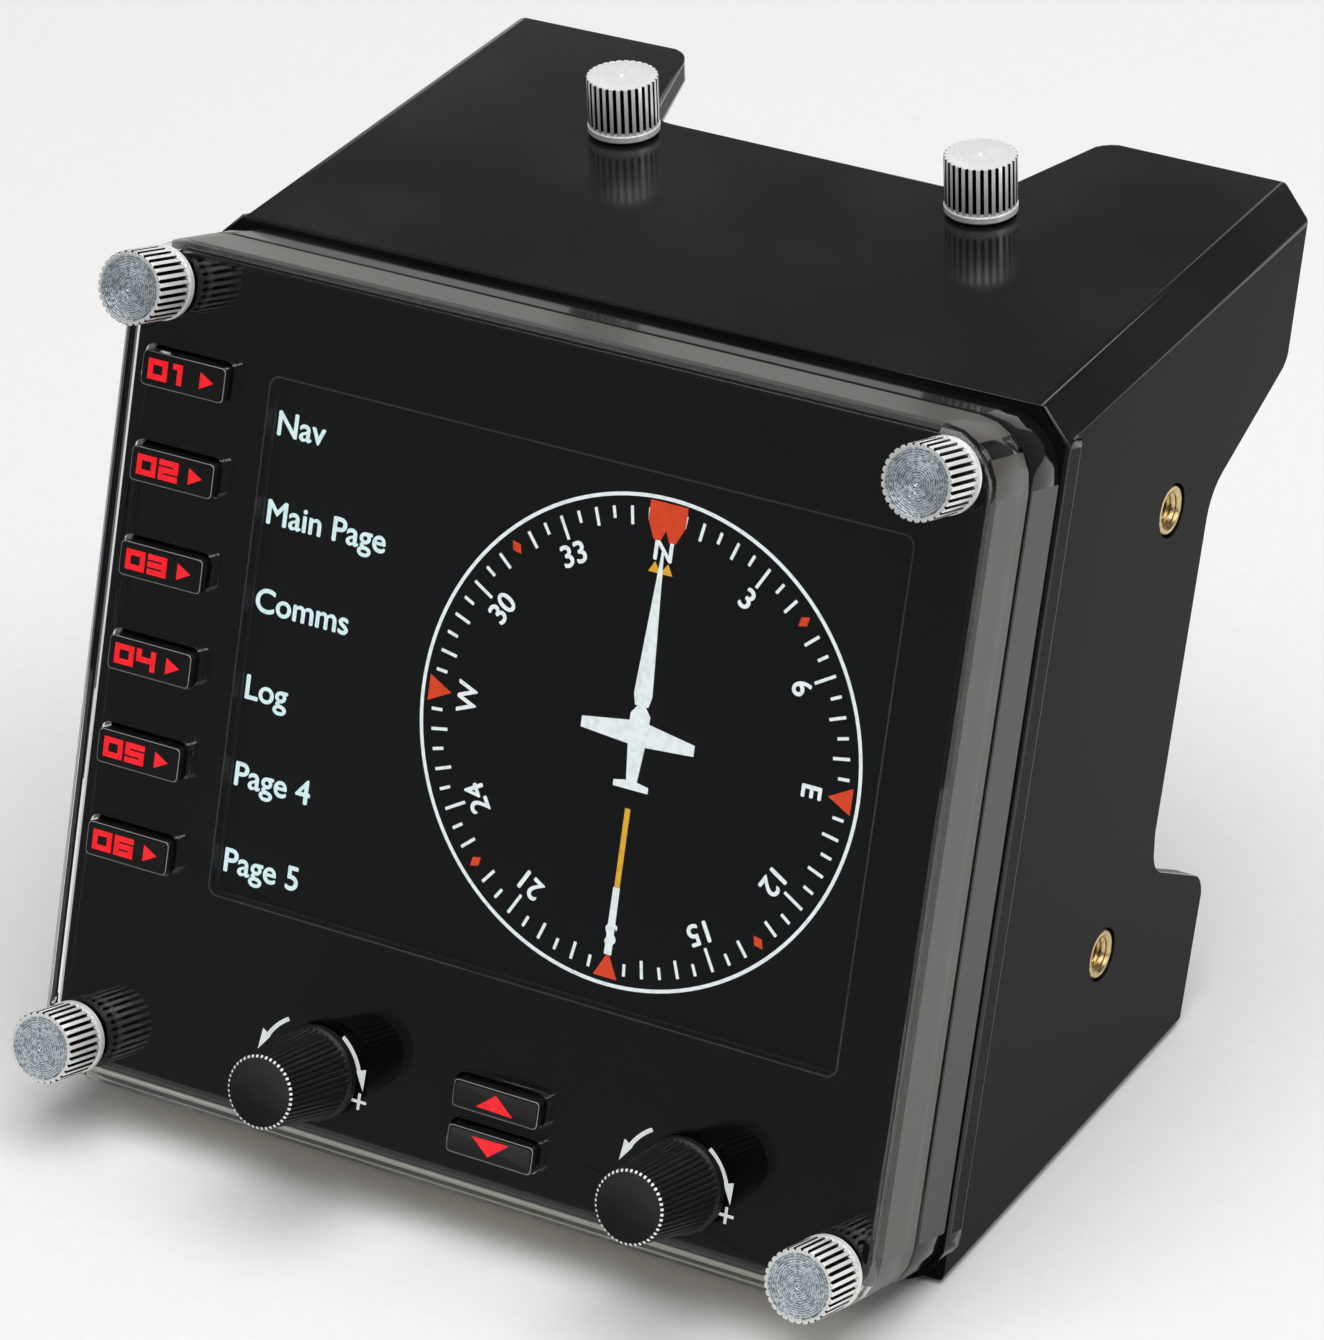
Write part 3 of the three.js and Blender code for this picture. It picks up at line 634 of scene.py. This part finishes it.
def thumbscrewShape(settings, shankLength):
    r, top, groove = settings["radius"], -settings["length"], settings["groove"]
    collar = -settings["collar"]
    dimple, seat = settings["dimple"], settings["seat"]
    rings = [
        (dimple * 0.3, top + 0.2, 0), (dimple, top + 0.02, 0), (dimple + 0.15, top, 0),
        (r * 0.5, top + 0.01, 0), (r - groove - 0.22, top + 0.01, 0), (r - groove - 0.12, top - 0.02, 0),
        (r - 0.05, top, groove), (r, top + 0.06, groove), (r, collar - 0.3, groove),
        (r - 0.1, collar, groove), (r - 0.1, collar + 0.02, 0), (r + 0.05, collar + 0.1, 0),
        (r + 0.05, seat - 0.15, 0), (r - 0.1, seat, 0), (settings["shank"], seat, 0),
    ]
    depth = 0.4
    while depth < shankLength - settings["threadPitch"]:
        rings.append((settings["shank"], depth, 0))
        rings.append((settings["shank"] - settings["threadDepth"], depth + settings["threadPitch"] / 2, 0))
        depth += settings["threadPitch"]
    rings.append((settings["shank"], depth, 0))
    rings.append((settings["shank"] - 0.3, shankLength, 0))
    return ribbedTurn(rings, settings["ribs"] * 8, settings["ribs"])


def makeThumbscrews():
    endPlane = -screwSettings["length"] + 0.15
    endRadius = screwSettings["radius"] - screwSettings["groove"] - 0.15

    def knurlFinish(centre):
        # 2 for the crests of the ribs and the collar, a painted highlight, 3 for the grooves between them,
        # painted shade
        if centre.y > -0.1 or hypot(centre.x, centre.z) < endRadius:
            return 0
        onRib = abs(sin(screwSettings["ribs"] * atan2(centre.z, centre.x) / 2)) > 0.6
        inKnurl = endPlane < centre.y < -screwSettings["collar"] - 0.2
        return 3 if inKnurl and not onRib else 2

    def cornerFinish(centre, normal):
        return 1 if centre.y < endPlane and hypot(centre.x, centre.z) < endRadius else knurlFinish(centre)

    def topFinish(centre, normal):
        # The ends of the top screws take the painted highlight too
        return 2 if centre.y < endPlane else knurlFinish(centre)

    screwFinishes = ["aluminium", "turnedEnd", "ribCrestHighlight", "ribGrooveShade"]
    longShape = thumbscrewShape(screwSettings, screwSettings["cornerShank"])
    shortShape = thumbscrewShape(screwSettings, screwSettings["topShank"])
    for spot in corners:
        name = f"corner_thumbscrew_{spot}"
        here = Matrix.Translation(joints[f"{name}_turn"]["pos_m"]) @ faceTurn
        here = here @ Matrix.Rotation(radians(3), 4, "Y")
        piece = makePiece(f"{name}_knurled", longShape, screwFinishes, here, 40, cornerFinish)
        place(piece, name, "aluminium", name)
    for side in sides:
        name = f"top_thumbscrew_{side}"
        here = Matrix.Translation(joints[f"{name}_turn"]["pos_m"]) @ Matrix.Rotation(radians(-90), 4, "X")
        piece = makePiece(f"{name}_knurled", shortShape, screwFinishes, here, 40, topFinish)
        place(piece, name, "aluminium", name)


insertSettings = {
    "radius": 2.5, "bore": 1.75, "threadPitch": 0.5, "threadDepth": 0.28, "ribs": 24,
    "cornerLength": 2.6, "length": 4.5, "recess": 0.05,
}


def insertShape(length):
    # The outside, its rim, then the threaded bore back to the start
    r, bore = insertSettings["radius"], insertSettings["bore"]
    rings = [(r - 0.1, length, 0), (r, length - 0.2, 0.1), (r, 0.55, 0.1), (r, 0.5, 0), (r, 0.2, 0),
             (r - 0.1, 0.12, 0), (bore + 0.3, 0.12, 0), (bore, 0.35, 0)]
    depth = 0.5
    while depth < length - insertSettings["threadPitch"]:
        rings.append((bore, depth, 0))
        rings.append((bore - insertSettings["threadDepth"], depth + insertSettings["threadPitch"] / 2, 0))
        depth += insertSettings["threadPitch"]
    rings += [(bore, depth, 0), (bore + 0.15, length, 0)]
    return ribbedTurn(rings, insertSettings["ribs"] * 4, insertSettings["ribs"], closed=False)


def makeInserts():
    for name in [node for node in nodes if "_insert_" in node]:
        low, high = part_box(name)
        middle = (Vector(low) + Vector(high)) / 2
        kind = name.split("_")[0]
        length = insertSettings["cornerLength" if kind == "corner" else "length"]
        turns = {"corner": faceTurn, "top": Matrix.Rotation(radians(-90), 4, "X")}
        hand = 1 if name.endswith("right") else -1
        sideways = faceTurn @ Matrix.Rotation(hand * pi / 2, 4, "Z")
        here = Matrix.Translation(middle) @ turns.get(kind, sideways)
        here = here @ Matrix.Translation((0, -(length / 2 + insertSettings["recess"]) * mm, 0))
        piece = makePiece(f"{name}_threaded", insertShape(length), ["brass"], here, 35)
        place(piece, "module", "brass", name)


keySettings = {
    "soft": {"width": 9.8, "height": 3.56, "corner": 0.5},
    "page": {"width": 9.8, "height": 2.9, "corner": 0.5},
    "front": -0.9, "edge": 0.16, "back": 4.2, "legendProud": 0.02, "legendDepth": 0.04,
    "digit": {"width": 1.7, "height": 1.5, "stroke": 0.58, "left": -3.85, "low": -0.75, "step": 2.6},
    "segments": {"0": "abcdef", "1": "hi", "2": "abged", "3": "abgcd", "4": "fgbc", "5": "afgcd",
                 "6": "afgedc"},
    "sideArrow": [(2.0, -0.85), (3.6, 0), (2.0, 0.85)],
    "pageArrow": [(-2.1, -0.8), (2.1, -0.9), (-0.05, 0.85)],
}


def capShape(size):
    width, height, corner = size["width"], size["height"], size["corner"]
    edge, front = keySettings["edge"], keySettings["front"]
    layers = [(roundedBox(width - 2 * edge - 0.3, height - 2 * edge - 0.3, corner * 0.6), front + 0.01)]
    for step in range(5):
        angle = pi / 2 * step / 4
        inset = edge * (1 - sin(angle))
        layers.append((roundedBox(width - 2 * inset, height - 2 * inset, corner - inset * 0.5),
                       front + edge * (1 - cos(angle))))
    layers.append((roundedBox(width, height, corner), keySettings["back"]))
    return loft(layers)


def blockDigit(digit, left, low, front):
    # A wide squared digit made of bars
    size = keySettings["digit"]
    half, right, high = size["stroke"] / 2, left + size["width"], low + size["height"]
    middle, across = (low + high) / 2, (left + right) / 2
    ends = {
        "a": ((left, high), (right, high)), "b": ((right, high), (right, middle)),
        "c": ((right, middle), (right, low)), "d": ((left, low), (right, low)),
        "e": ((left, low), (left, middle)), "f": ((left, middle), (left, high)),
        "g": ((left, middle), (right, middle)), "h": ((across, low), (across, high)),
        "i": ((left + half, high), (across, high)),
    }
    bars = []
    for segment in keySettings["segments"][digit]:
        (x1, z1), (x2, z2) = ends[segment]
        x1, x2, z1, z2 = min(x1, x2) - half, max(x1, x2) + half, min(z1, z2) - half, max(z1, z2) + half
        bars.append(slab([(x1, z1), (x2, z1), (x2, z2), (x1, z2)], front, keySettings["legendDepth"]))
    return joinShapes(bars)


def keyFinish(centre, normal):
    # The rounded rim, lighter all round: a painted highlight
    edgeLevel = keySettings["front"] + keySettings["edge"] * 0.35
    return 1 if centre.y < edgeLevel and abs(normal.y) < 0.97 else 0


def makeKey(name, cap, legend):
    low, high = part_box(name)
    middle = facePlane.inverted() @ ((Vector(low) + Vector(high)) / 2)
    here = onFace(middle.x / mm, middle.z / mm)
    piece = makePiece(f"{name}_cap", cap, ["key", "keyEdgeHighlight"], here, 30, keyFinish)
    place(piece, name, "key_plastic", name)
    place(makePiece(f"{name}_legend", legend, ["litRed"], here), name, "lamp")


def makeKeys():
    legendFront = keySettings["front"] - keySettings["legendProud"]
    depth, digit = keySettings["legendDepth"], keySettings["digit"]
    softShape = capShape(keySettings["soft"])
    for i in range(1, 7):
        shapes = [blockDigit(figure, digit["left"] + digit["step"] * order, digit["low"], legendFront)
                  for order, figure in enumerate(f"{i:02d}")]
        shapes.append(slab(keySettings["sideArrow"], legendFront, depth))
        makeKey(f"soft_key_{i}", softShape, joinShapes(shapes))
    pageShape = capShape(keySettings["page"])
    for which, point in (("up", 1), ("down", -1)):
        outline = [(x, z * point) for x, z in keySettings["pageArrow"]]
        makeKey(f"page_{which}_key", pageShape, slab(outline, legendFront, depth))


knobSettings = {
    "front": 3.75, "base": 4.55, "foot": 4.85, "length": 10.6, "ribs": 44, "groove": 0.22, "seat": -0.3,
}


def makeKnobs():
    front, base, foot = knobSettings["front"], knobSettings["base"], knobSettings["foot"]
    end, groove, seat = -knobSettings["length"], knobSettings["groove"], knobSettings["seat"]
    rings = [
        (0.4, end + 0.04, 0), (front - 0.32, end + 0.04, 0), (front - 0.26, end, 0),
        (front - 0.2, end, groove), (front, end + 0.16, groove), (front + 0.03, end + 0.4, groove),
        (base, -1.6, groove), (base + 0.02, -1.45, 0), (foot, -1.25, 0), (foot, seat - 0.1, 0),
        (foot - 0.1, seat, 0), (2.0, seat, 0), (2.0, end + 2, 0),
    ]
    shape = ribbedTurn(rings, knobSettings["ribs"] * 8, knobSettings["ribs"])

    def rimHighlightFinish(centre, normal):
        # The rib ends at the front rim get the painted highlight
        onRib = abs(sin(knobSettings["ribs"] * atan2(centre.z, centre.x) / 2)) > 0.6
        return 1 if centre.y < end + 0.12 and hypot(centre.x, centre.z) > front - 0.25 and onRib else 0

    for side in sides:
        name = f"{side}_knob"
        here = Matrix.Translation(joints[f"{name}_turn"]["pos_m"]) @ faceTurn
        piece = makePiece(f"{name}_ribbed", shape, ["knob", "knobRimHighlight"], here, 40, rimHighlightFinish)
        place(piece, name, "knob_plastic", name)


printSettings = {
    "front": 1.86, "thickness": 0.03, "line": 0.42, "x": -1.6, "z": -1.2, "radius": 6.0,
    "leftSweep": (121, 150), "rightSweep": (56, 20), "steps": 14,
    "plus": {"x": 6.06, "z": -1.06, "reach": 0.85, "half": 0.15},
}


def curvedArrow(fromAngle, toAngle, radius):
    # A bent bar, then the head that it points with
    line, steps = printSettings["line"], printSettings["steps"]
    outer, inner = [], []
    for step in range(steps + 1):
        angle = radians(fromAngle + (toAngle - fromAngle) * step / steps)
        outer.append(((radius + line / 2) * cos(angle), (radius + line / 2) * sin(angle)))
        inner.append(((radius - line / 2) * cos(angle), (radius - line / 2) * sin(angle)))
    tip = radians(toAngle)
    way = 1 if toAngle > fromAngle else -1
    along = (-sin(tip) * way, cos(tip) * way)
    centre = (radius * cos(tip), radius * sin(tip))
    across = (cos(tip), sin(tip))
    head = [
        (centre[0] + across[0] * 0.85, centre[1] + across[1] * 0.85),
        (centre[0] + along[0] * 2.1, centre[1] + along[1] * 2.1),
        (centre[0] - across[0] * 0.3, centre[1] - across[1] * 0.3),
    ]
    return [outer + inner[::-1], head]


def plusOutline(reach, half):
    return [(-half, reach), (-half, half), (-reach, half), (-reach, -half), (-half, -half), (-half, -reach),
            (half, -reach), (half, -half), (reach, -half), (reach, half), (half, half), (half, reach)]


def makePrints():
    front, thickness = printSettings["front"], printSettings["thickness"]
    radius, plus = printSettings["radius"], printSettings["plus"]
    for side, hand in (("left", -1), ("right", 1)):
        x = knobPlaces["x"] + hand * knobPlaces["spacing"] / 2
        here = onFace(x + printSettings["x"], knobPlaces["z"] + printSettings["z"])
        outlines = curvedArrow(*printSettings["leftSweep"], radius)
        outlines += curvedArrow(*printSettings["rightSweep"], radius)
        sign = plusOutline(plus["reach"], plus["half"])
        outlines.append([(signX + plus["x"], signZ + plus["z"]) for signX, signZ in sign])
        shapes = [slab(outline, front, thickness) for outline in outlines]
        place(makePiece(f"{side}_knob_arrows", joinShapes(shapes), ["print"], here), "module", "white_film")


windowSettings = {
    "x": 4.85, "z": 5.4, "width": 71.6, "height": 53.1, "corner": 1.0, "line": 0.16, "front": 1.87,
}


def makeWindowLine():
    s = windowSettings
    width, height, corner, line = s["width"], s["height"], s["corner"], s["line"]
    outer = roundedBox(width + 2 * line, height + 2 * line, corner + line, s["x"], s["z"])
    inner = roundedBox(width, height, corner, s["x"], s["z"])
    piece = makePiece("window_line", ringSlab(outer, inner, s["front"], 0.02), ["windowLine"])
    place(piece, "module", "black_panel")


dialSettings = {
    "x": 13.62, "z": 5.0, "unit": 24.2, "ring": 1.01, "line": 0.015, "layer": 0.03,
    "ticks": {30: (0.906, 0.10), 10: (0.918, 0.075), 5: (0.93, 0.05)}, "tickWidth": 0.013,
    "numbers": {330: "33", 300: "30", 270: "W", 240: "24", 210: "21", 180: "S", 150: "15", 120: "12",
                90: "E", 60: "6", 30: "3", 0: "N"},
    "numberRadius": 0.79, "numberSize": 0.125, "numberWeight": 0.06,
    "markRadius": 0.93, "bugRadius": 0.905,
    "diamond": [(0, -0.032), (0.021, 0), (0, 0.032), (-0.021, 0)],
    "triangle": [(-0.055, 0.045), (0, -0.06), (0.055, 0.045)],
    "bug": [(-0.085, 0.08), (-0.085, 0.0), (-0.05, -0.075), (-0.02, -0.075), (0, -0.03), (0.02, -0.075),
            (0.05, -0.075), (0.085, 0.0), (0.085, 0.08)],
    "course": [(-0.012, -0.61), (0.012, -0.61), (0.012, -0.27), (-0.012, -0.27)],
    "arrowHead": [(-0.055, 0.70), (-0.03, 0.745), (0, 0.70), (0.03, 0.745), (0.055, 0.70), (0.012, 0.70),
                  (0.012, 0.62), (-0.012, 0.62), (-0.012, 0.70)],
    "needle": [(-0.042, 0.20), (-0.03, 0.155), (0.03, 0.155), (0.042, 0.20), (0.004, 0.80), (-0.004, 0.80)],
    "tail": [(-0.017, -0.88), (0.017, -0.88), (0.015, -0.60), (-0.015, -0.60)],
    "body": [(-0.018, 0.155), (-0.045, 0.12), (-0.045, 0.05), (-0.024, -0.16), (0.024, -0.16),
             (0.045, 0.05), (0.045, 0.12), (0.018, 0.155)],
    "wings": [(-0.26, 0.01), (-0.26, 0.055), (-0.04, 0.09), (0.04, 0.09), (0.26, 0.055), (0.26, 0.01),
              (0, -0.01)],
    "tailWings": [(-0.08, -0.19), (-0.08, -0.165), (0, -0.15), (0.08, -0.165), (0.08, -0.19)],
}


def polar(bearing, radius):
    # Dial units: bearing clockwise from the top
    return radius * sin(radians(bearing)), radius * cos(radians(bearing))


def radialShape(bearing, radius, outline):
    # An outline drawn pointing up, moved out to a radius and turned to a bearing
    moved = [(x, z + radius) for x, z in outline]
    return turn(moved, -radians(bearing))


def box2d(width, height):
    right, top = width / 2, height / 2
    return [(-right, -top), (right, -top), (right, top), (-right, top)]


def screenFront():
    glass = nodes["lcd_glass"].data.vertices
    return min((facePlane.inverted() @ vertex.co).y for vertex in glass) / mm


def makeDial():
    s = dialSettings
    unit, layer = s["unit"], s["layer"]
    glassFront = screenFront()

    def onDial(outline):
        return [(s["x"] + x * unit, s["z"] + z * unit) for x, z in outline]

    def slabAt(outline, level):
        return slab(onDial(outline), glassFront - layer * level, layer * 0.8)

    disc = slabAt(circlePoints(s["ring"]), 1)
    place(makePiece("dial_disc", disc, ["dialBlack"]), "module", "screen")

    outer = onDial(circlePoints(s["ring"], sides=128))
    inner = onDial(circlePoints(s["ring"] - s["line"], sides=128))
    white = [ringSlab(outer, inner, glassFront - layer * 2, layer * 0.8)]
    for bearing in range(0, 360, 5):
        if bearing % 90 == 0 or bearing % 90 == 45:
            continue
        kind = 30 if bearing % 30 == 0 else 10 if bearing % 10 == 0 else 5
        radius, length = s["ticks"][kind]
        white.append(slabAt(radialShape(bearing, radius, box2d(s["tickWidth"], length)), 2))
    for bearing, word in s["numbers"].items():
        x, z = onDial([polar(bearing, s["numberRadius"])])[0]
        white.append(lettering(word, s["numberSize"] * unit, x, z, glassFront - layer * 2,
                               -radians(bearing), layer * 0.8, s["numberWeight"], "CENTER"))
    place(makePiece("dial_marks", joinShapes(white), ["litWhite"]), "module", "screen")

    orange = [slabAt(radialShape(bearing, s["markRadius"], s["diamond"]), 2)
              for bearing in (45, 135, 225, 315)]
    orange += [slabAt(radialShape(bearing, s["markRadius"], s["triangle"]), 3)
               for bearing in (90, 180, 270)]
    orange.append(slabAt(radialShape(0, s["bugRadius"], s["bug"]), 3))
    place(makePiece("dial_orange_marks", joinShapes(orange), ["litOrange"]), "module", "screen")

    yellow = [slabAt(s["course"], 3), slabAt(s["arrowHead"], 4)]
    place(makePiece("dial_yellow_marks", joinShapes(yellow), ["litYellow"]), "module", "screen")

    symbols = [slabAt(s[part], 5) for part in ("needle", "tail", "body")]
    symbols += [slabAt(s[part], 6) for part in ("wings", "tailWings")]
    place(makePiece("aeroplane_and_needle", joinShapes(symbols), ["litWhite"]), "module", "screen")


menuSettings = {
    "words": ["Nav", "Main Page", "Comms", "Log", "Page 4", "Page 5"],
    "x": -31.05, "topBaseline": 25.86, "pitch": 9.0, "size": 3.5, "weight": 0.06,
    "proud": 0.03, "thickness": 0.025,
}


def makeMenu():
    s = menuSettings
    shapes = []
    for row, word in enumerate(s["words"]):
        baseline = s["topBaseline"] - row * s["pitch"]
        shapes.append(lettering(word, s["size"], s["x"], baseline, screenFront() - s["proud"],
                                thickness=s["thickness"], weight=s["weight"]))
    place(makePiece("menu_words", joinShapes(shapes), ["litMenu"]), "module", "screen")


housingScrewSettings = {
    "shank": 1.1, "root": 0.85, "tip": 5.3, "thread": (5.5, 13), "pitch": 0.5,
    "head": [(1.1, 13.5, 0), (2.1, 13.7, 0), (2.2, 13.85, 0), (2.15, 14.4, 0), (1.7, 14.72, 0),
             (0.9, 14.8, 0)],
}


def housingScrewShape():
    # A threaded shank with a pan head behind it
    s = housingScrewSettings
    rings = [(s["shank"], s["tip"], 0)]
    depth, last = s["thread"]
    while depth < last:
        rings += [(s["shank"], depth, 0), (s["root"], depth + s["pitch"] / 2, 0)]
        depth += s["pitch"]
    return ribbedTurn(rings + s["head"], 48)


def makeHousingScrews():
    shape = housingScrewShape()
    for number in (1, 2, 3):
        name = f"housing_screw_{number}"
        points = [facePlane.inverted() @ vertex.co / mm for vertex in nodes[name].data.vertices]
        x = sum(point.x for point in points) / len(points)
        z = sum(point.z for point in points) / len(points)
        piece = makePiece(f"{name}_pan_head", shape, ["steel"], onFace(x, z), 40)
        place(piece, "module", "steel", name)


makeShells()
print("shells made")
makeThumbscrews()
makeInserts()
makeHousingScrews()
print("fastenings made")
makeKeys()
makeKnobs()
print("keys and knobs made")
makePrints()
makeWindowLine()
makeDial()
makeMenu()
print("panel prints and screen made")

floorSettings = {"left": -0.7, "right": 0.6, "front": -0.28, "back": 0.7, "low": -0.0005}


def makeFloor():
    left, right = floorSettings["left"] / mm, floorSettings["right"] / mm
    front, back, low = floorSettings["front"] / mm, floorSettings["back"] / mm, floorSettings["low"] / mm
    points = [(left, front, low), (right, front, low), (right, back, low), (left, back, low)]
    floor = makePiece("floor", (points, [(0, 1, 2, 3)]), ["floor"], Matrix.Identity(4))


makeFloor()
bpy.context.scene.view_settings.view_transform = "Standard"
